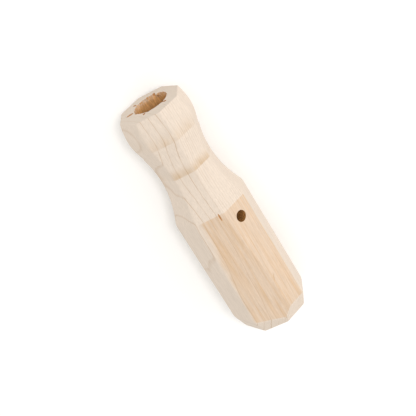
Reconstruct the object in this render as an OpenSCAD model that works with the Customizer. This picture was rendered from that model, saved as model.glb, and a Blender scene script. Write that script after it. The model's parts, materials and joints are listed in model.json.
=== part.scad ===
// Hand-shaped octagonal wooden grip, bored to take a rod and drilled across for a pin.
// It lies along X on one of its long flats: bored head towards +X, tail towards -X.
// The origin is under the middle of its length, on the surface that it rests on.

/* [Blank] */
// Whole length, from the head's end face to the tail's end face
total_length = 133.4; // [125:0.1:150]
// Width of the straight body across its flats
body_flats = 38.1; // [36:0.1:42]

/* [Head] */
// Width across the flats at the head's end face
head_flats = 31.8; // [30:0.1:33]
// Width across the flats at the fullest part of the crown
crown_flats = 34.7; // [34:0.1:36]
// Distance from the end face to the fullest part of the crown
crown_at = 11.5; // [10:0.1:13]
// Distance from the end face to the corner where the crown stops
crown_length = 16.7; // [15:0.1:18]

/* [Neck] */
// Width across the flats at the waist
waist_flats = 27.7; // [26:0.1:29]
// Distance from the end face to the waist
waist_at = 35.8; // [34:0.1:38]
// Distance from the end face to the start of the straight body
neck_length = 60; // [56:0.1:62]

/* [Tail] */
// Length of the chamfers at the tail
chamfer_length = 10.2; // [6:0.1:14]
// Width across the flats at the tail's end face
tail_flats = 29.4; // [26:0.1:34]

/* [Rod socket] */
// Diameter of the blind bore in the head
socket_d = 18; // [14:0.1:18.5]
// Depth of the bore from the end face
socket_depth = 80; // [76:0.5:95]
// How far the bore is drilled off the axis, sideways
socket_side = -0.8; // [-1:0.1:1]
// How far the bore is drilled off the axis, up or down
socket_rise = -1.6; // [-1.6:0.1:1.6]

/* [Pin hole] */
// Diameter of the hole drilled across the body
pin_d = 6; // [4:0.1:8]
// Distance from the head's end face to the hole's middle
pin_at = 68.3; // [67:0.1:71]

/* [Hidden] */
$fn = 96;

// Eight flats all round
flats = 8;
flat_turn = 360 / flats;

head_x = total_length / 2;
axis_z = body_flats / 2;
// How far each cutter runs past the wood
overrun = 1;
// Straight steps that each curved stretch of the outline is drawn with
crown_steps = 10;
waist_steps = 24;

// Radius of an arc that moves sideways by rise over the length run, from its extreme point
function arc_radius(run, rise) = (run * run + rise * rise) / (2 * rise);
// Sideways distance from the arc's extreme point at the distance d along it
function arc_drop(radius, d) = radius - sqrt(radius * radius - d * d);

crown_radius = arc_radius(crown_at, (crown_flats - head_flats) / 2);
waist_radius = arc_radius(neck_length - waist_at, (body_flats - waist_flats) / 2);

// Width across the flats at the distance s from the head's end face
function crown_width(s) = crown_flats - 2 * arc_drop(crown_radius, abs(s - crown_at));
function waist_width(s) = waist_flats + 2 * arc_drop(waist_radius, abs(s - waist_at));

// A point of the outline, on the corner between two flats
function corner(width, s) = [width / 2 / cos(flat_turn / 2), s];

crown = [for (i = [0:crown_steps])
    let (s = crown_length * i / crown_steps) corner(crown_width(s), s)];
waist = [for (i = [1:waist_steps])
    let (s = crown_length + (neck_length - crown_length) * i / waist_steps)
    corner(waist_width(s), s)];
tail = [corner(body_flats, total_length - chamfer_length), corner(tail_flats, total_length)];

// The eight-sided blank about the X axis, with its flats square to Y and Z
module octagonal_blank() {
    translate([head_x, 0, 0])
        rotate([0, -90, 0])
            rotate([0, 0, flat_turn / 2])
                rotate_extrude($fn = flats)
                    polygon(concat([[0, 0]], crown, waist, tail, [[0, total_length]]));
}

module socket_bore() {
    translate([head_x - socket_depth, socket_side, socket_rise])
        rotate([0, 90, 0])
            cylinder(h = socket_depth + overrun, d = socket_d);
}

// Square to the flat beside the top one, on the -Y side, and right through
module pin_bore() {
    translate([head_x - pin_at, 0, 0])
        rotate([flat_turn, 0, 0])
            cylinder(h = body_flats + 2 * overrun, d = pin_d, center = true);
}

// One piece of maple
module grip() {
    color([0.93, 0.85, 0.76])
        translate([0, 0, axis_z])
            difference() {
                octagonal_blank();
                socket_bore();
                pin_bore();
            }
}

grip();
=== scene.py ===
import json
import math

import bpy
from mathutils import Matrix, Vector


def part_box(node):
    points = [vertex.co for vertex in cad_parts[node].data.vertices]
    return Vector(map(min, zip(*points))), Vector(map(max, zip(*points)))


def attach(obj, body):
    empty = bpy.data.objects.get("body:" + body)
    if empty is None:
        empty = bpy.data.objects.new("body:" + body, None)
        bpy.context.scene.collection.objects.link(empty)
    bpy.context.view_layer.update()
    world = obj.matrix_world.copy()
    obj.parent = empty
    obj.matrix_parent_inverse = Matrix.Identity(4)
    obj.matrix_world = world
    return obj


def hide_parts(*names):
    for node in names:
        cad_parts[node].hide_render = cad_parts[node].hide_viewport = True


# A muddler's grip, shaved to eight flats from one piece of bare hard maple, bored in the
# head for a rod and drilled across for a pin. It lies on one of its flats along X.

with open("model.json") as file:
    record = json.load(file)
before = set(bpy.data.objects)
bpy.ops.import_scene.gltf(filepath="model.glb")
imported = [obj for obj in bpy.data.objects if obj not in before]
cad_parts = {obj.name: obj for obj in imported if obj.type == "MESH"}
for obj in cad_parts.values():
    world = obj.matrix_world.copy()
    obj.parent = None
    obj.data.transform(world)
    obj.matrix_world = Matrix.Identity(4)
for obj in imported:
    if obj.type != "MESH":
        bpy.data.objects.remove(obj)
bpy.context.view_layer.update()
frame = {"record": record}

MM = 0.001

# ---------------------------------------------------------------- sizes from the frame
low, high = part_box("grip")
length = high.x - low.x
head_x = high.x
body_half = (high.z - low.z) / 2
axis = Vector((0, (low.y + high.y) / 2, (low.z + high.z) / 2))
mounts = {m["name"]: m for m in frame["record"]["mounts"]}
socket = mounts["rod_socket"]
socket_radius = socket["dims"]["r_mm"] * MM
socket_depth = socket["dims"]["length_mm"] * MM
socket_at = Vector(socket["pos_m"])
pin = mounts["pin_hole"]
pin_radius = pin["dims"]["r_mm"] * MM
pin_at = Vector(pin["pos_m"])
pin_axis = Vector(pin["axis"])

# ------------------------------------------------ the outline, as half widths across flats
# All distances along the grip run from the head's end face.
head_half = 15.9 * MM
crown_half = 17.35 * MM
crown_at = 11.5 * MM
crown_length = 16.7 * MM
waist_half = 13.85 * MM
waist_at = 35.8 * MM
neck_length = 60 * MM
# past this place only the waist's curve is cut, before it the crown's as well
crown_cut_ends = 22 * MM
# by here a flat has gone down and turned as far as it does
shaved_down_by = 123 * MM
# the stretch where the tail's chamfers start
chamfers_from = 118 * MM
chamfers_to = 126 * MM

# How each flat was shaved. It faces an angle about X, from +Y, and by the tail it was taken
# down and turned a little. Its chamfer faces an angle of its own, and comes from the body's
# width at "starts" to the half width "ends" at the tail. Millimetres and degrees.
FLATS = (
    {"faces": 0, "down": 0.0, "turned": 0, "chamfer": 0, "starts": 127.5, "ends": 18.2},
    {"faces": 45, "down": 0.0, "turned": 0, "chamfer": 38.4, "starts": 122.2, "ends": 13.95},
    {"faces": 90, "down": 2.07, "turned": 7.6, "chamfer": 86.2, "starts": 123.6, "ends": 13.5},
    {"faces": 135, "down": 0.0, "turned": 0, "chamfer": 135, "starts": 124.9, "ends": 13.8},
    {"faces": 180, "down": 0.1, "turned": 0, "chamfer": 180, "starts": 124.6, "ends": 15.25},
    {"faces": 225, "down": 0.3, "turned": -1, "chamfer": 224, "starts": 123.4, "ends": 14.6},
    {"faces": 270, "down": 0.0, "turned": 0, "chamfer": 272, "starts": 122.6, "ends": 14.1},
    {"faces": 315, "down": 0.2, "turned": 1, "chamfer": 317, "starts": 123.8, "ends": 15.0},
)
# how deep a flat dips along its length, and how long its dips are
shaving_wander = 0.30 * MM
dip_length = 31.25 * MM
# how softly two flats meet, the crown runs into the waist, and the two ends are rimmed
edge_ease = 0.9 * MM
crown_ease = 3.2 * MM
rim_ease = 0.30 * MM


# ---------------------------------------------------------------------- node helpers
def add(tree, kind, *feeds, out=0, **settings):
    """Adds a node with its settings, feeds its inputs in order and returns the output asked for.

    A feed is another node's output, a plain value, or None to leave that input alone.
    A dict among the feeds gives inputs by name or number."""
    made = tree.nodes.new(kind)
    for name, value in settings.items():
        setattr(made, name, value)
    pairs = []
    for place, feed in enumerate(feeds):
        pairs += list(feed.items()) if isinstance(feed, dict) else [(place, feed)]
    for key, feed in pairs:
        if feed is None:
            continue
        if isinstance(feed, bpy.types.NodeSocket):
            tree.links.new(feed, made.inputs[key])
        else:
            made.inputs[key].default_value = feed
    return made.outputs[out] if len(made.outputs) else made


# Kinds of node, and settings that are used often
MATH = "ShaderNodeMath"
VECTOR = "ShaderNodeVectorMath"
NOISE = "ShaderNodeTexNoise"
RANGE = "ShaderNodeMapRange"
MIX = "ShaderNodeMix"
SPLIT = "ShaderNodeSeparateXYZ"
JOIN = "ShaderNodeCombineXYZ"
GREY = "ShaderNodeCombineColor"
XYZ = slice(3)
SOFT = {"interpolation_type": "SMOOTHSTEP"}
# a mix of two colours at 6 and 7 by the share at 0, or the first darkened by the second
PAINT = {"data_type": "RGBA", "out": 2}
STAIN = {"data_type": "RGBA", "blend_type": "MULTIPLY", "out": 2}
SOCKETS = {
    "value": "NodeSocketFloat",
    "material": "NodeSocketMaterial",
    "object": "NodeSocketObject",
}


def new_tree(name, **inputs):
    """A geometry tree with named inputs. Returns it with its inputs by name."""
    tree = bpy.data.node_groups.new(name, "GeometryNodeTree")
    tree.interface.new_socket("Geometry", in_out="INPUT", socket_type="NodeSocketGeometry")
    for label, kind in inputs.items():
        tree.interface.new_socket(label, in_out="INPUT", socket_type=SOCKETS[kind])
    tree.interface.new_socket("Geometry", in_out="OUTPUT", socket_type="NodeSocketGeometry")
    group = tree.nodes.new("NodeGroupInput")
    return tree, {o.name: o for o in group.outputs if o.name}


def grow(name, mesh, tree, **values):
    """Runs a geometry tree on a mesh and returns the result as a plain object."""
    seed = bpy.data.objects.new(name + "_seed", mesh)
    bpy.context.scene.collection.objects.link(seed)
    modifier = seed.modifiers.new("tree", "NODES")
    modifier.node_group = tree
    for item in tree.interface.items_tree:
        if item.in_out == "INPUT" and item.name in values:
            modifier[item.identifier] = values[item.name]
    bpy.context.view_layer.update()
    shape = seed.evaluated_get(bpy.context.evaluated_depsgraph_get())
    plain = bpy.data.meshes.new_from_object(shape)
    plain.name = name
    bpy.data.objects.remove(seed)
    piece = bpy.data.objects.new(name, plain)
    bpy.context.scene.collection.objects.link(piece)
    return piece


# ------------------------------------------------------------------------ tube meshes
def places(start, *stops):
    """Places from start on, through each stop in its number of equal steps."""
    found = [start]
    for stop, steps in stops:
        before = found[-1]
        found += [before + (stop - before) * step / steps for step in range(1, steps + 1)]
    return found


def unit_tube(name, along, around):
    """A closed tube of radius 1 about X, with a ring of points at each place along it."""
    turn = 2 * math.pi / around
    points = [(x, math.cos(j * turn), math.sin(j * turn)) for x in along for j in range(around)]
    faces = []
    last = len(along) - 1
    for i in range(last):
        here, there = i * around, (i + 1) * around
        for j in range(around):
            k = (j + 1) % around
            faces.append((here + j, here + k, there + k, there + j))
    faces.append(tuple(reversed(range(around))))
    faces.append(tuple(range(last * around, (last + 1) * around)))
    mesh = bpy.data.meshes.new(name)
    mesh.from_pydata(points, [], faces)
    mesh.update()
    return mesh


def blank_places():
    """Ring places along the blank, from the tail up to the head, close where it is eased."""
    rim = 3 * rim_ease
    found = places(
        0, (rim, 6), (crown_length - MM, 28), (crown_length + MM, 8), (neck_length - MM, 64),
        (neck_length + MM, 8), (chamfers_from, 60), (chamfers_to, 28), (length - rim, 12),
        (length, 6),
    )
    return [head_x - place for place in reversed(found)]


# --------------------------------------------------------------------- the shaved blank
def arc(tree, along, half, extreme, moved, reach):
    """Half width of a curved stretch, which moves out by moved at reach from its extreme."""
    off = add(tree, MATH, along, extreme, operation="SUBTRACT")
    square = add(tree, MATH, off, off, operation="MULTIPLY")
    return add(tree, MATH, square, moved / reach**2, half, operation="MULTIPLY_ADD")


def outline_width(tree, along, ease):
    """The grip's half width across its flats, before any one of them was taken down."""
    crown = arc(tree, along, crown_half, crown_at, head_half - crown_half, crown_at)
    waist = arc(
        tree, along, waist_half, waist_at, body_half - waist_half, neck_length - waist_at
    )
    by_head = add(tree, MATH, crown, waist, crown_ease, operation="SMOOTH_MIN")
    by_tail = add(tree, MATH, waist, body_half, ease, operation="SMOOTH_MIN")
    past = add(tree, MATH, along, crown_cut_ends, operation="GREATER_THAN")
    return add(tree, MIX, {"Factor": past, 2: by_head, 3: by_tail}, data_type="FLOAT")


def reach_of_plane(tree, angle, plane, faces):
    """How far out a plane lies in the direction angle. The plane faces another angle."""
    off = add(tree, MATH, angle, faces, operation="SUBTRACT")
    facing = add(tree, MATH, off, operation="COSINE")
    # planes that face away are kept far out instead of crossing over the axis
    facing = add(tree, MATH, facing, 0.3, operation="MAXIMUM")
    return add(tree, MATH, plane, facing, operation="DIVIDE")


def rim_loss(tree, to_end, rim):
    """How much a rounded rim takes off at a distance to the end that it runs round."""
    within = add(tree, MATH, to_end, rim, operation="DIVIDE")
    within = add(tree, MATH, 1.0, within, operation="SUBTRACT", use_clamp=True)
    square = add(tree, MATH, within, within, operation="MULTIPLY")
    left = add(tree, MATH, 1.0, square, operation="SUBTRACT", use_clamp=True)
    left = add(tree, MATH, left, operation="SQRT")
    lost = add(tree, MATH, 1.0, left, operation="SUBTRACT")
    return add(tree, MATH, lost, rim, operation="MULTIPLY")


def shaving_tree():
    """Brings a unit tube to the grip's eight flats: each flat is a plane laid on the outline,
    and a point of the tube goes out to whichever plane it meets first."""
    tree, given = new_tree(
        "shaved_flats", Length="value", Ease="value", Rim="value", Wander="value"
    )
    spot = add(tree, "GeometryNodeInputPosition")
    x, y, z = add(tree, SPLIT, spot, out=XYZ)
    along = add(tree, MATH, head_x, x, operation="SUBTRACT")
    to_tail = add(tree, MATH, given["Length"], along, operation="SUBTRACT")
    angle = add(tree, MATH, z, y, operation="ARCTAN2")
    outline = outline_width(tree, along, given["Ease"])
    down_body = add(
        tree, RANGE, along, neck_length, shaved_down_by, 0.0, 1.0, clamp=True
    )
    nearest = None
    for flat in FLATS:
        # each flat wanders on its own, so each reads its own lane of the noise
        lane = add(tree, JOIN, x, flat["faces"] * 0.01, 0.0)
        wave = add(tree, NOISE, lane, None, 1 / dip_length, 1.5)
        wander = add(tree, MATH, wave, given["Wander"], operation="MULTIPLY")
        taken = add(tree, MATH, down_body, flat["down"] * MM, wander, operation="MULTIPLY_ADD")
        side = add(tree, MATH, outline, taken, operation="SUBTRACT")
        turned = add(
            tree, MATH, down_body, math.radians(flat["turned"]), math.radians(flat["faces"]),
            operation="MULTIPLY_ADD",
        )
        ends = flat["ends"] * MM
        slope = (body_half - ends) / (length - flat["starts"] * MM)
        chamfer = add(tree, MATH, to_tail, slope, ends, operation="MULTIPLY_ADD")
        for plane, faces in ((side, turned), (chamfer, math.radians(flat["chamfer"]))):
            reach = reach_of_plane(tree, angle, plane, faces)
            if nearest is None:
                nearest = reach
            else:
                nearest = add(
                    tree, MATH, nearest, reach, given["Ease"], operation="SMOOTH_MIN"
                )
    for to_end in (along, to_tail):
        lost = rim_loss(tree, to_end, given["Rim"])
        nearest = add(tree, MATH, nearest, lost, operation="SUBTRACT")
    out_y = add(tree, MATH, y, nearest, axis.y, operation="MULTIPLY_ADD")
    out_z = add(tree, MATH, z, nearest, axis.z, operation="MULTIPLY_ADD")
    place = add(tree, JOIN, x, out_y, out_z)
    shaped = add(tree, "GeometryNodeSetPosition", given["Geometry"], None, place)
    add(tree, "NodeGroupOutput", shaped)
    return tree


# ---------------------------------------------------------------------- what is cut away
def socket_places():
    """Ring places down the bore, from clear of the end face to its floor."""
    found = places(-MM, (0, 3), (mouth_tear_depth, 14), (12 * MM, 20), (socket_depth, 50))
    return [head_x - place for place in reversed(found)]


# Where the drill tore the bore's mouth: angle about X, how wide in degrees, and how far out
# (a nick) or in (a chip left standing), in millimetres
MOUTH_TEARS = (
    {"at": 249, "wide": 7, "out": -1.5},
    {"at": 284, "wide": 5, "out": 0.9},
    {"at": 262, "wide": 5, "out": 0.5},
    {"at": 84, "wide": 6, "out": 0.7},
    {"at": 138, "wide": 5, "out": 0.8},
    {"at": 30, "wide": 9, "out": 0.6},
    {"at": 330, "wide": 8, "out": 0.5},
)
mouth_tear_depth = 2.4 * MM
# how rough the wall is from its lowest to its highest, down the bore and at its mouth
bore_roughness = 0.45 * MM
mouth_roughness = 2.4 * MM
# how many ridges of torn fibre lie side by side in a metre, and how thick one is for its
# length
ridges_in_bore = 700
ridges_at_mouth = 620
ridge_slimness = 0.12
# how rough the pin hole and the nicks are
pin_roughness = 0.35 * MM
nick_roughness = 0.25 * MM
# the side of the mouth that the drill tore most, as an angle about X
torn_side = math.radians(262)


def socket_tree():
    """Brings a unit tube to the bore: a rough wall, with a torn and chipped mouth."""
    tree, given = new_tree("rough_bore", Radius="value", Rough="value", Torn="value")
    spot = add(tree, "GeometryNodeInputPosition")
    x, y, z = add(tree, SPLIT, spot, out=XYZ)
    along = add(tree, MATH, head_x, x, operation="SUBTRACT")
    angle = add(tree, MATH, z, y, operation="ARCTAN2")
    # noise that is drawn out along the fibres
    run = add(tree, MATH, x, ridge_slimness, operation="MULTIPLY")
    side_y = add(tree, MATH, y, socket_radius, operation="MULTIPLY")
    side_z = add(tree, MATH, z, socket_radius, operation="MULTIPLY")
    fibre = add(tree, JOIN, run, side_y, side_z)
    wall = add(tree, NOISE, fibre, None, ridges_in_bore, 3.0, 0.6)
    wall = add(tree, MATH, wall, 0.5, operation="SUBTRACT")
    ragged = add(tree, NOISE, fibre, None, ridges_at_mouth, 4.0, 0.7)
    ragged = add(tree, MATH, ragged, 0.47, operation="SUBTRACT")
    worst = add(tree, MATH, angle, torn_side, operation="SUBTRACT")
    worst = add(tree, MATH, worst, operation="COSINE")
    worst = add(tree, RANGE, worst, 0.0, 0.9, 0.25, 1.0, **SOFT)
    ragged = add(tree, MATH, ragged, worst, operation="MULTIPLY")
    near_mouth = add(tree, RANGE, along, mouth_tear_depth, 0.0, 0.0, 1.0, **SOFT)
    torn = add(tree, MATH, ragged, given["Torn"], operation="MULTIPLY")
    for tear in MOUTH_TEARS:
        off = add(tree, MATH, angle, math.radians(tear["at"]), operation="SUBTRACT")
        facing = add(tree, MATH, off, operation="COSINE")
        edge = math.cos(math.radians(tear["wide"]))
        bite = add(tree, RANGE, facing, edge, 1.0, 0.0, tear["out"] * MM)
        torn = add(tree, MATH, torn, bite, operation="ADD")
    torn = add(tree, MATH, torn, near_mouth, operation="MULTIPLY")
    reach = add(tree, MATH, wall, given["Rough"], given["Radius"], operation="MULTIPLY_ADD")
    reach = add(tree, MATH, reach, torn, operation="ADD")
    out_y = add(tree, MATH, y, reach, socket_at.y, operation="MULTIPLY_ADD")
    out_z = add(tree, MATH, z, reach, socket_at.z, operation="MULTIPLY_ADD")
    place = add(tree, JOIN, x, out_y, out_z)
    shaped = add(tree, "GeometryNodeSetPosition", given["Geometry"], None, place)
    add(tree, "NodeGroupOutput", shaped)
    return tree


def pin_tree():
    """Turns a unit tube into the pin hole's drill, which leaves a slightly furred rim."""
    tree, given = new_tree("pin_drill", Radius="value", Rough="value")
    spot = add(tree, "GeometryNodeInputPosition")
    x, y, z = add(tree, SPLIT, spot, out=XYZ)
    fur = add(tree, NOISE, spot, None, 2.2, 3.0, 0.6)
    fur = add(tree, MATH, fur, 0.5, operation="SUBTRACT")
    reach = add(tree, MATH, fur, given["Rough"], given["Radius"], operation="MULTIPLY_ADD")
    out_y = add(tree, MATH, y, reach, operation="MULTIPLY")
    out_z = add(tree, MATH, z, reach, operation="MULTIPLY")
    place = add(tree, JOIN, x, out_y, out_z)
    shaped = add(tree, "GeometryNodeSetPosition", given["Geometry"], None, place)
    turn = Vector((1, 0, 0)).rotation_difference(pin_axis).to_euler()
    set_across = add(
        tree, "GeometryNodeTransform", shaped,
        {"Translation": (pin_at.x, axis.y, axis.z), "Rotation": turn},
    )
    add(tree, "NodeGroupOutput", set_across)
    return tree


def on_end(angle, out):
    """A place on the head's end face, from its angle about X and its distance from the axis."""
    turn = math.radians(angle)
    return Vector((head_x, axis.y + out * math.cos(turn), axis.z + out * math.sin(turn)))


# Pits torn out of the end face: angle about X, distance from the axis and half length
# outwards, in degrees and millimetres
PITS = (
    {"at": 316, "out": 11.5, "half": 1.0},
    {"at": 259, "out": 11.2, "half": 0.9},
    {"at": 150, "out": 10.3, "half": 1.0},
    {"at": 75, "out": 8.7, "half": 0.9},
)
pit_deep = 1.1
# how wide a pit is for its length
pit_width = 0.75


def nicks():
    """Where each pit, split or slit is, its half sizes along X, across and up in millimetres,
    and the angle that it is then turned by about X."""
    found = []
    for pit in PITS:
        half = (pit_deep, pit["half"], pit_width * pit["half"])
        place = on_end(pit["at"], pit["out"] * MM)
        found.append({"place": place, "half": half, "turn": pit["at"]})
    # the split that runs out from the bore's mouth towards one corner
    found.append({"place": on_end(5, 10.5 * MM), "half": (1.0, 1.9, 0.85), "turn": 18})
    # a slit beside the ridge, just below the neck, with its middle just under the top flat
    slit = Vector((head_x - 61.3 * MM, -5.2 * MM, high.z - 0.1 * MM))
    found.append({"place": slit, "half": (2.8, 0.4, 0.5), "turn": 0})
    return found


def nick_seed():
    """The nicks as loose points, with their sizes and turns as attributes."""
    found = nicks()
    mesh = bpy.data.meshes.new("nick_points")
    mesh.from_pydata([nick["place"] for nick in found], [], [])
    size_of = mesh.attributes.new("size", "FLOAT_VECTOR", "POINT")
    turn_of = mesh.attributes.new("turn", "FLOAT_VECTOR", "POINT")
    for i, nick in enumerate(found):
        size_of.data[i].vector = [half * MM for half in nick["half"]]
        turn_of.data[i].vector = (math.radians(nick["turn"]), 0, 0)
    return mesh


def nick_tree():
    """Puts a rough little wedge at each point."""
    tree, given = new_tree("nicks", Rough="value")
    wedge = add(tree, "GeometryNodeMeshIcoSphere", 1.0, 3)
    size = add(tree, "GeometryNodeInputNamedAttribute", "size", data_type="FLOAT_VECTOR")
    turn = add(tree, "GeometryNodeInputNamedAttribute", "turn", data_type="FLOAT_VECTOR")
    turned = add(tree, "FunctionNodeEulerToRotation", turn)
    set_out = add(
        tree, "GeometryNodeInstanceOnPoints", given["Geometry"],
        {"Instance": wedge, "Rotation": turned, "Scale": size},
    )
    solid = add(tree, "GeometryNodeRealizeInstances", set_out)
    spot = add(tree, "GeometryNodeInputPosition")
    torn = add(tree, NOISE, spot, None, 1600.0, 3.0, 0.6, out=1)
    torn = add(tree, VECTOR, torn, (0.5, 0.5, 0.5), operation="SUBTRACT")
    torn = add(tree, VECTOR, torn, {"Scale": given["Rough"]}, operation="SCALE")
    rough = add(tree, "GeometryNodeSetPosition", solid, None, None, torn)
    add(tree, "NodeGroupOutput", rough)
    return tree


# What the face attribute "cut" says of the surface: 0 shaved or sawn, or which tool cut it
CUT_BY = {"Bore": 1.0, "Pin": 2.0, "Nicks": 3.0}
# two faces that meet at a sharper angle than this have a crisp edge
crisp_from = math.radians(38)


def cutting_tree():
    """Cuts the bore, the pin hole and the nicks out of the blank, and finishes the piece."""
    tree, given = new_tree(
        "cut_grip", Bore="object", Pin="object", Nicks="object", Maple="material"
    )
    marking = {"data_type": "FLOAT", "domain": "FACE"}
    mark_kind = "GeometryNodeStoreNamedAttribute"
    cut = add(tree, mark_kind, given["Geometry"], None, "cut", 0.0, **marking)
    for tool, mark in CUT_BY.items():
        shape = add(tree, "GeometryNodeObjectInfo", given[tool], out="Geometry")
        shape = add(tree, mark_kind, shape, None, "cut", mark, **marking)
        cut = add(
            tree, "GeometryNodeMeshBoolean", cut, shape,
            operation="DIFFERENCE", solver="MANIFOLD",
        )
    cut = add(tree, "GeometryNodeSetShadeSmooth", cut, None, True, domain="FACE")
    bend = add(tree, "GeometryNodeInputMeshEdgeAngle")
    sharp = add(tree, "FunctionNodeCompare", bend, crisp_from, operation="GREATER_THAN")
    cut = add(tree, "GeometryNodeSetShadeSmooth", cut, sharp, False, domain="EDGE")
    # the two sawn ends are flat, right up to the pits in them
    facing = add(tree, "GeometryNodeInputNormal")
    facing_x = add(tree, SPLIT, facing)
    facing_x = add(tree, MATH, facing_x, operation="ABSOLUTE")
    is_end = add(tree, "FunctionNodeCompare", facing_x, 0.98, operation="GREATER_THAN")
    cut = add(tree, "GeometryNodeSetShadeSmooth", cut, is_end, False, domain="FACE")
    cut = add(tree, "GeometryNodeRealizeInstances", cut)
    cut = add(tree, "GeometryNodeSetMaterial", cut, None, given["Maple"])
    add(tree, "NodeGroupOutput", cut)
    return tree


# -------------------------------------------------------------------------- the wood
def colour(code):
    """An sRGB hex colour as linear red, green, blue and alpha."""
    parts = [int(code[i : i + 2], 16) / 255 for i in (1, 3, 5)]
    linear = [p / 12.92 if p <= 0.04045 else ((p + 0.055) / 1.055) ** 2.4 for p in parts]
    return (*linear, 1.0)


# Directions in the wood: across the growth layers, and square to the flat with the pin hole
ACROSS_RINGS = Vector((0, 1, 1)).normalized()
PIN_SIDE = Vector((0, -1, 1)).normalized()
# the ridge between the top flat and the one with the pin hole
UPPER_RIDGE = (PIN_SIDE + Vector((0, 0, 1))).normalized()
# growth layers in millimetres: narrow ones, wide ones from a certain depth outwards, and how
# far off the tree's middle lay, which bows them
NARROW_RING = 1.15
WIDE_RING = 3.1
WIDE_FROM = 7.0
PITH_AWAY = 95.0
# how far the layers rise for each millimetre along the grip
GRAIN_SLOPE = 0.035
# where in a layer its dark line ends, and where the line starts in a narrow and a wide one
LINE_ENDS = 0.96
LINE_STARTS = 0.58
LINE_STARTS_WIDE = 0.85

EARLY_WOOD = "#D3C5B7"
LATE_WOOD = "#B79D82"
SKIN_TINT = "#F9EFE4"
STREAK_TINT = "#F8EDDC"
SCORCH_TINT = "#EADBC4"
DARK_HAIR = "#B08C62"
PALE_HAIR = "#DDCFC0"
END_GRAIN = "#C6B9AB"
BORED_WOOD = "#CE9D66"
PIN_BURNT = "#A97A45"
TORN_WOOD = "#B8885A"

# Two scorched bands, where one cut of the knife stopped against the next: where each starts
# and stops, in millimetres from the end face, and how strong it is
SCORCHED = ((8.0, 16.4, 0.55), (29.5, 35.6, 1.1))


def grain_noise(tree, wood, grain, detail=2.0, rough=0.5):
    """Noise whose grains have the given sizes in millimetres along X, Y and Z."""
    scaled = add(tree, VECTOR, wood, [1 / size for size in grain], operation="MULTIPLY")
    return add(tree, NOISE, scaled, None, 1.0, detail, rough)


def growth_lines(tree, wood, along):
    """How much latewood shows: thin dark lines where one year's growth ends."""
    depth = add(tree, VECTOR, wood, ACROSS_RINGS, operation="DOT_PRODUCT", out="Value")
    sideways = add(tree, VECTOR, wood, PIN_SIDE, operation="DOT_PRODUCT", out="Value")
    bow = add(tree, MATH, sideways, sideways, operation="MULTIPLY")
    depth = add(tree, MATH, bow, -0.5 / PITH_AWAY, depth, operation="MULTIPLY_ADD")
    depth = add(tree, MATH, along, -GRAIN_SLOPE, depth, operation="MULTIPLY_ADD")
    swell = grain_noise(tree, wood, (52, 20, 20), 1.0)
    depth = add(tree, MATH, swell, 5.0, depth, operation="MULTIPLY_ADD")
    ripple = grain_noise(tree, wood, (14, 5, 5))
    depth = add(tree, MATH, ripple, 0.8, depth, operation="MULTIPLY_ADD")

    narrow = add(tree, MATH, depth, 1 / NARROW_RING, operation="MULTIPLY")
    start = WIDE_FROM * (1 / NARROW_RING - 1 / WIDE_RING)
    wide = add(tree, MATH, depth, 1 / WIDE_RING, start, operation="MULTIPLY_ADD")
    rings = add(tree, MATH, narrow, wide, operation="MINIMUM")
    is_wide = add(tree, MATH, narrow, wide, operation="GREATER_THAN")
    later = LINE_STARTS_WIDE - LINE_STARTS
    line_from = add(tree, MATH, is_wide, later, LINE_STARTS, operation="MULTIPLY_ADD")
    in_ring = add(tree, MATH, rings, operation="FRACT")
    late = add(tree, RANGE, in_ring, line_from, LINE_ENDS, 0.0, 1.0, **SOFT)
    ended = add(tree, RANGE, in_ring, LINE_ENDS, 1.0, 1.0, 0.0, **SOFT)
    late = add(tree, MATH, late, ended, operation="MULTIPLY")

    # some years leave a stronger line than others, and each line fades in and out
    ring = add(tree, MATH, rings, operation="FLOOR")
    year = add(
        tree, "ShaderNodeTexWhiteNoise", {"W": ring}, noise_dimensions="1D", out="Value"
    )
    year = add(tree, MATH, year, 0.6, 0.4, operation="MULTIPLY_ADD")
    fading = grain_noise(tree, wood, (22, 4, 4))
    fading = add(tree, RANGE, fading, 0.30, 0.55, 0.35, 1.0)
    year = add(tree, MATH, year, fading, operation="MULTIPLY")
    late = add(tree, MATH, late, year, operation="MULTIPLY")
    # narrow layers leave the fainter lines
    strength = add(tree, MATH, is_wide, 0.45, 0.55, operation="MULTIPLY_ADD")
    return add(tree, MATH, late, strength, operation="MULTIPLY")


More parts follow.
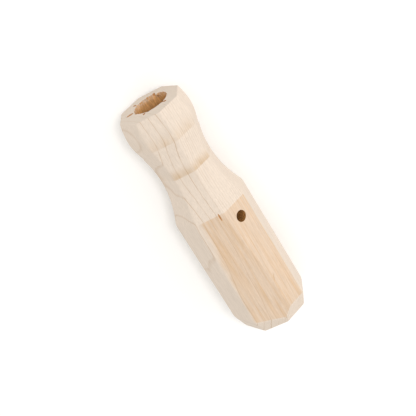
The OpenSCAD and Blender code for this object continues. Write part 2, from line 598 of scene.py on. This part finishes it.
def skin_share(tree, wood, facing, along, y, clouds):
    """How much of the sawn blank's tan skin is left: on the straight part of two flats, and
    on the ridge between them."""
    face_z = add(tree, SPLIT, facing, out="Z")
    on_top = add(tree, RANGE, face_z, 0.93, 0.965, 0.0, 1.0, **SOFT)
    turned = add(tree, VECTOR, facing, PIN_SIDE, operation="DOT_PRODUCT", out="Value")
    on_pin_side = add(tree, RANGE, turned, 0.93, 0.965, 0.0, 1.0, **SOFT)
    # on the top flat the skin stops short of the far ridge, and reaches it at the tail
    ragged = grain_noise(tree, wood, (16, 3, 3), 3.0)
    edge = add(tree, MATH, ragged, -5.0, y, operation="MULTIPLY_ADD")
    edge = add(tree, MATH, along, -0.045, edge, operation="MULTIPLY_ADD")
    kept = add(tree, RANGE, edge, 1.6, -1.6, 0.0, 1.0, **SOFT)
    on_top = add(tree, MATH, on_top, kept, operation="MULTIPLY")
    on_ridge = add(tree, VECTOR, facing, UPPER_RIDGE, operation="DOT_PRODUCT", out="Value")
    on_ridge = add(tree, RANGE, on_ridge, 0.935, 0.965, 0.0, 1.0, **SOFT)
    skin = add(tree, MATH, on_top, on_pin_side, operation="MAXIMUM")
    skin = add(tree, MATH, skin, on_ridge, operation="MAXIMUM")
    # none is left where the neck or a chamfer was cut
    tilt = add(tree, SPLIT, facing, out="X")
    tilt = add(tree, MATH, tilt, operation="ABSOLUTE")
    level = add(tree, RANGE, tilt, 0.16, 0.10, 0.0, 1.0, **SOFT)
    skin = add(tree, MATH, skin, level, operation="MULTIPLY")
    straight = add(tree, RANGE, along, neck_length / MM - 0.4, neck_length / MM, 0.0, 1.0)
    skin = add(tree, MATH, skin, straight, operation="MULTIPLY")
    patchy = add(tree, MATH, clouds, 0.6, 0.68, operation="MULTIPLY_ADD")
    return add(tree, MATH, skin, patchy, operation="MULTIPLY", use_clamp=True)


def scorch_share(tree, wood, facing, along):
    """How scorched the wood is: bands that rise towards the tail and stop sharply."""
    scorch = 0.0
    for start, end, most in SCORCHED:
        rise = add(tree, RANGE, along, start, end, 0.0, most, **SOFT)
        stop = add(tree, RANGE, along, end, end + 0.5, 1.0, 0.0)
        scorch = add(tree, MATH, rise, stop, scorch, operation="MULTIPLY_ADD")
    patches = grain_noise(tree, wood, (18, 6, 6), 3.0, 0.6)
    patches = add(tree, RANGE, patches, 0.30, 0.70, 0.1, 1.0)
    scorch = add(tree, MATH, scorch, patches, operation="MULTIPLY")
    # the knife leaned on the two flats that meet at the upper ridge
    upper = add(tree, VECTOR, facing, UPPER_RIDGE, operation="DOT_PRODUCT", out="Value")
    upper = add(tree, RANGE, upper, 0.35, 0.85, 0.25, 1.0)
    return add(tree, MATH, scorch, upper, operation="MULTIPLY")


# Hair-thin marks along the fibres, near the tail's ridge: from and to, as the distance from
# the end face and the place across and up from the axis, all in millimetres
HAIR_MARKS = (
    {"from": (102.6, -12.8, 14.2), "to": (109.1, -10.8, 16.1), "thick": 0.5, "code": DARK_HAIR},
    {"from": (116.8, -10.4, 16.4), "to": (124.4, -11.1, 15.9), "thick": 0.6, "code": DARK_HAIR},
    {"from": (125.4, -6.9, 17.9), "to": (132.0, -6.3, 15.0), "thick": 0.5, "code": DARK_HAIR},
    {"from": (106.0, -7.5, 18.4), "to": (125.5, -7.3, 18.2), "thick": 0.6, "code": PALE_HAIR},
    {"from": (73.2, -5.1, 18.9), "to": (74.8, -5.1, 18.9), "thick": 0.5, "code": DARK_HAIR},
)


def hair_marks(tree, wood, wood_colour):
    """Paints the hair-thin marks over the wood."""
    for mark in HAIR_MARKS:
        ends = [Vector((head_x / MM - s, y, z)) for s, y, z in (mark["from"], mark["to"])]
        run = ends[1] - ends[0]
        half = (run.length / 2, mark["thick"], mark["thick"])
        turn = run.to_track_quat("X", "Z").to_euler()
        beside = add(
            tree, "ShaderNodeMapping", wood, (ends[0] + ends[1]) / 2, turn, half,
            vector_type="TEXTURE",
        )
        off = add(tree, VECTOR, beside, operation="LENGTH", out="Value")
        share = add(tree, RANGE, off, 1.0, 0.2, 0.0, 0.75, **SOFT)
        wood_colour = add(
            tree, MIX, {0: share, 6: wood_colour, 7: colour(mark["code"])}, **PAINT
        )
    return wood_colour


def lines_that_show(tree, late, skin, facing):
    """How much of the growth lines shows on the surface."""
    # the weathered skin hides much of them
    hidden = add(tree, MATH, skin, -0.55, 1.0, operation="MULTIPLY_ADD")
    shown = add(tree, MATH, late, hidden, operation="MULTIPLY")
    # where the surface runs along the growth layers, the lines are broad and faint
    layered = add(tree, VECTOR, facing, ACROSS_RINGS, operation="DOT_PRODUCT", out="Value")
    layered = add(tree, RANGE, layered, 0.90, 0.97, 1.0, 0.5, **SOFT)
    return add(tree, MATH, shown, layered, operation="MULTIPLY")


def shaved_colour(tree, wood, facing, along, late, skin, shade):
    """The colour of the shaved sides: cream, with the lines, the skin and the scorch."""
    sides = add(tree, MIX, {0: late, 6: colour(EARLY_WOOD), 7: colour(LATE_WOOD)}, **PAINT)
    sides = add(tree, MIX, {0: 1.0, 6: sides, 7: shade}, **STAIN)
    streaky = grain_noise(tree, wood, (38, 1.6, 1.6), 3.0)
    streaky = add(tree, RANGE, streaky, 0.42, 0.72, 0.0, 1.0)
    streaky = add(tree, MATH, streaky, skin, operation="MULTIPLY")
    scorch = scorch_share(tree, wood, facing, along)
    for share, tint in ((skin, SKIN_TINT), (streaky, STREAK_TINT), (scorch, SCORCH_TINT)):
        sides = add(tree, MIX, {0: share, 6: sides, 7: colour(tint)}, **STAIN)
    return hair_marks(tree, wood, sides)


def end_colour(tree, wood, sides):
    """The colour of end grain: its open pores soak up light, so it looks greyer and darker."""
    speck = add(tree, NOISE, wood, None, 2.4, 3.0, 0.7)
    speck = add(tree, MATH, speck, 0.20, 0.90, operation="MULTIPLY_ADD")
    speck = add(tree, GREY, speck, speck, speck)
    ends = add(tree, MIX, {0: 0.5, 6: sides, 7: colour(END_GRAIN)}, **PAINT)
    return add(tree, MIX, {0: 1.0, 6: ends, 7: speck}, **STAIN)


def bore_colour(tree, wood, along):
    """The colour of the bore: browned by the drill, with raised fibres, painted shade that
    darkens it as it goes in, and pale chips left standing at its mouth."""
    fibres_and_depth_shade = grain_noise(tree, wood, (3.5, 0.7, 0.7), 3.0, 0.7)
    fibres_and_depth_shade = add(tree, RANGE, fibres_and_depth_shade, 0.32, 0.68, 0.66, 1.20)
    # painted shade: the bore's wall is drawn darker the farther it goes in, and a little lighter
    # at the mouth
    painted_depth_shade = add(tree, RANGE, along, 1.5, 8.0, 1.06, 0.88)
    fibres_and_depth_shade = add(tree, MATH, fibres_and_depth_shade, painted_depth_shade, operation="MULTIPLY")
    fibres_and_depth_shade = add(tree, GREY, fibres_and_depth_shade, fibres_and_depth_shade, fibres_and_depth_shade)
    wall = add(tree, MIX, {0: 1.0, 6: colour(BORED_WOOD), 7: fibres_and_depth_shade}, **STAIN)
    chips = grain_noise(tree, wood, (1.8, 0.8, 0.8), 3.0, 0.7)
    chips = add(tree, RANGE, chips, 0.42, 0.58, 0.0, 0.8)
    at_mouth = add(tree, RANGE, along, 2.8, 0.4, 0.0, 1.0)
    chips = add(tree, MATH, chips, at_mouth, operation="MULTIPLY")
    return add(tree, MIX, {0: chips, 6: wall, 7: colour(EARLY_WOOD)}, **PAINT)


def pin_hole_colour(tree, wood):
    """The colour of the pin hole, which a small drill burnt unevenly."""
    burnt = add(tree, NOISE, wood, None, 0.75, 3.0, 0.6)
    burnt = add(tree, RANGE, burnt, 0.34, 0.66, 0.55, 1.45)
    burnt = add(tree, GREY, burnt, burnt, burnt)
    return add(tree, MIX, {0: 1.0, 6: colour(PIN_BURNT), 7: burnt}, **STAIN)


def bare_maple():
    """Hard maple, sawn, shaved and drilled, with no finish: a pale cream, nearly matt wood
    with thin brown growth lines, greyer end grain and a tan skin left on two flats."""
    material = bpy.data.materials.new("bare_hard_maple")
    material.use_nodes = True
    tree = material.node_tree
    tree.nodes.clear()

    # places in the wood, in millimetres from the grip's axis
    here = add(tree, "ShaderNodeTexCoord", out="Object")
    here = add(tree, VECTOR, here, axis, operation="SUBTRACT")
    wood = add(tree, VECTOR, here, {"Scale": 1 / MM}, operation="SCALE")
    x = add(tree, SPLIT, wood, out="X")
    y = add(tree, SPLIT, wood, out="Y")
    along = add(tree, MATH, head_x / MM, x, operation="SUBTRACT")
    facing = add(tree, "ShaderNodeNewGeometry", out="Normal")

    clouds = grain_noise(tree, wood, (26, 9, 9))
    # maple's fibres, flecks and pores are finer than half a millimetre: they are drawn
    # coarser, so that they show
    fibres = grain_noise(tree, wood, (11, 0.5, 0.5), 3.0, 0.65)
    flecks = grain_noise(tree, wood, (2.2, 0.5, 0.5), 2.0, 0.6)
    pores = grain_noise(tree, wood, (5, 0.4, 0.4), 2.0, 0.7)
    shade = add(tree, MATH, fibres, 0.34, 0.70, operation="MULTIPLY_ADD")
    shade = add(tree, MATH, flecks, 0.18, shade, operation="MULTIPLY_ADD")
    shade = add(tree, MATH, clouds, 0.08, shade, operation="MULTIPLY_ADD")
    shade = add(tree, GREY, shade, shade, shade)
    skin = skin_share(tree, wood, facing, along, y, clouds)
    late = growth_lines(tree, wood, along)
    late = lines_that_show(tree, late, skin, facing)
    sides = shaved_colour(tree, wood, facing, along, late, skin, shade)

    endwise = add(tree, SPLIT, facing, out="X")
    endwise = add(tree, MATH, endwise, operation="ABSOLUTE")
    endwise = add(tree, RANGE, endwise, 0.80, 0.95, 0.0, 1.0, **SOFT)
    ends = end_colour(tree, wood, sides)
    wood_colour = add(tree, MIX, {0: endwise, 6: sides, 7: ends}, **PAINT)

    # drilled and torn wood is darker: the drill heated it, and its fibres stand open; in the
    # bore, painted shade also darkens the wall as it goes in
    cut = add(tree, "ShaderNodeAttribute", attribute_name="cut", out="Fac")
    colour_of = {
        "Bore": bore_colour(tree, wood, along),
        "Pin": pin_hole_colour(tree, wood),
        "Nicks": colour(TORN_WOOD),
    }
    for tool, mark in CUT_BY.items():
        share = add(tree, RANGE, cut, mark - 0.8, mark - 0.2, 0.0, 1.0)
        wood_colour = add(tree, MIX, {0: share, 6: wood_colour, 7: colour_of[tool]}, **PAINT)

    # open pores and raised fibres, about a tenth of a millimetre high, and lower latewood
    height = add(tree, MATH, pores, 0.4, operation="MULTIPLY")
    height = add(tree, MATH, fibres, 0.6, height, operation="MULTIPLY_ADD")
    height = add(tree, MATH, late, -0.25, height, operation="MULTIPLY_ADD")
    bump = add(tree, "ShaderNodeBump", 0.35, 0.12 * MM, {"Height": height}, out="Normal")
    surface = add(
        tree, "ShaderNodeBsdfPrincipled",
        {"Base Color": wood_colour, "Roughness": 0.62, "IOR": 1.5, "Normal": bump,
         "Specular IOR Level": 0.3},
    )
    add(tree, "ShaderNodeOutputMaterial", surface)
    return material


# ------------------------------------------------------------------ making the piece
blank = grow(
    "blank", unit_tube("blank_tube", blank_places(), 256), shaving_tree(),
    Length=length, Ease=edge_ease, Rim=rim_ease, Wander=shaving_wander,
)
bore = grow(
    "bore", unit_tube("bore_tube", socket_places(), 160), socket_tree(),
    Radius=socket_radius, Rough=bore_roughness, Torn=mouth_roughness,
)
pin_reach = body_half + MM
drill = grow(
    "drill", unit_tube("drill_tube", places(-pin_reach, (pin_reach, 60)), 48), pin_tree(),
    Radius=pin_radius, Rough=pin_roughness,
)
nick_shapes = grow("nick_shapes", nick_seed(), nick_tree(), Rough=nick_roughness)
grip = grow(
    "shaved_grip", blank.data, cutting_tree(),
    Bore=bore, Pin=drill, Nicks=nick_shapes, Maple=bare_maple(),
)
for tool in (blank, bore, drill, nick_shapes):
    bpy.data.objects.remove(tool)
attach(grip, "root")
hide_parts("grip")


# ---------------------------------------------------------------------------- the stage
# half the floor's side, in metres
FLOOR_HALF = 3.0


def white_paper():
    """The floor: matt white paper."""
    material = bpy.data.materials.new("white_paper")
    material.use_nodes = True
    shader = material.node_tree.nodes["Principled BSDF"]
    shader.inputs["Base Color"].default_value = colour("#FAFAFA")
    shader.inputs["Roughness"].default_value = 0.9
    shader.inputs["Specular IOR Level"].default_value = 0.1
    return material


corners = [(FLOOR_HALF * x, FLOOR_HALF * y, 0) for x, y in ((-1, -1), (1, -1), (1, 1), (-1, 1))]
floor_mesh = bpy.data.meshes.new("floor")
floor_mesh.from_pydata(corners, [], [(0, 1, 2, 3)])
floor_mesh.materials.append(white_paper())
floor = bpy.data.objects.new("floor", floor_mesh)
bpy.context.scene.collection.objects.link(floor)

# The camera looks down on the pin flat's side with the bored head towards it, and is turned
# upside down, so that the head lies at the upper left.
CAMERA_AZIMUTH = 61.0
CAMERA_ELEVATION = 62.2
CAMERA_ROLL = 180.1
CAMERA_DISTANCE = 0.7
# where the middle of the grip sits beside the middle of the view, right and up
CAMERA_OFFSET = (3.8 * MM, -2.1 * MM)
VIEW_WIDTH = 208 * MM

turn = math.radians(CAMERA_AZIMUTH)
rise = math.radians(CAMERA_ELEVATION)
back = Vector(
    (math.sin(turn) * math.cos(rise), -math.cos(turn) * math.cos(rise), math.sin(rise))
)
looking = back.to_track_quat("Z", "Y") @ Matrix.Rotation(
    math.radians(CAMERA_ROLL), 3, "Z"
).to_quaternion()
to_right = looking @ Vector((1, 0, 0))
to_up = looking @ Vector((0, 1, 0))
lens = bpy.data.cameras.new("camera")
lens.sensor_width = 36
lens.lens = lens.sensor_width * CAMERA_DISTANCE / VIEW_WIDTH
camera = bpy.data.objects.new("camera", lens)
camera.rotation_mode = "QUATERNION"
camera.rotation_quaternion = looking
camera.location = (
    axis + back * CAMERA_DISTANCE - to_right * CAMERA_OFFSET[0] - to_up * CAMERA_OFFSET[1]
)
bpy.context.scene.collection.objects.link(camera)
bpy.context.scene.camera = camera


def softbox(name, place, size, watts):
    """A square light that faces the grip."""
    light = bpy.data.lights.new(name, "AREA")
    light.size = size
    light.energy = watts
    lamp = bpy.data.objects.new(name, light)
    lamp.location = place
    lamp.rotation_mode = "QUATERNION"
    lamp.rotation_quaternion = (Vector(place) - axis).to_track_quat("Z", "Y")
    bpy.context.scene.collection.objects.link(lamp)


# a broad light low on the pin hole's side, and a small one high up by the head
softbox("side", (0.05, -1.2, 0.36), 0.9, 3.9)
softbox("overhead", (0.46, -0.42, 1.14), 0.22, 4.2)
world = bpy.data.worlds.new("studio")
bpy.context.scene.world = world
world.use_nodes = True
sky = world.node_tree.nodes["Background"]
sky.inputs["Color"].default_value = colour("#FFFDF9")
sky.inputs["Strength"].default_value = 0.95
bpy.context.scene.view_settings.view_transform = "Standard"
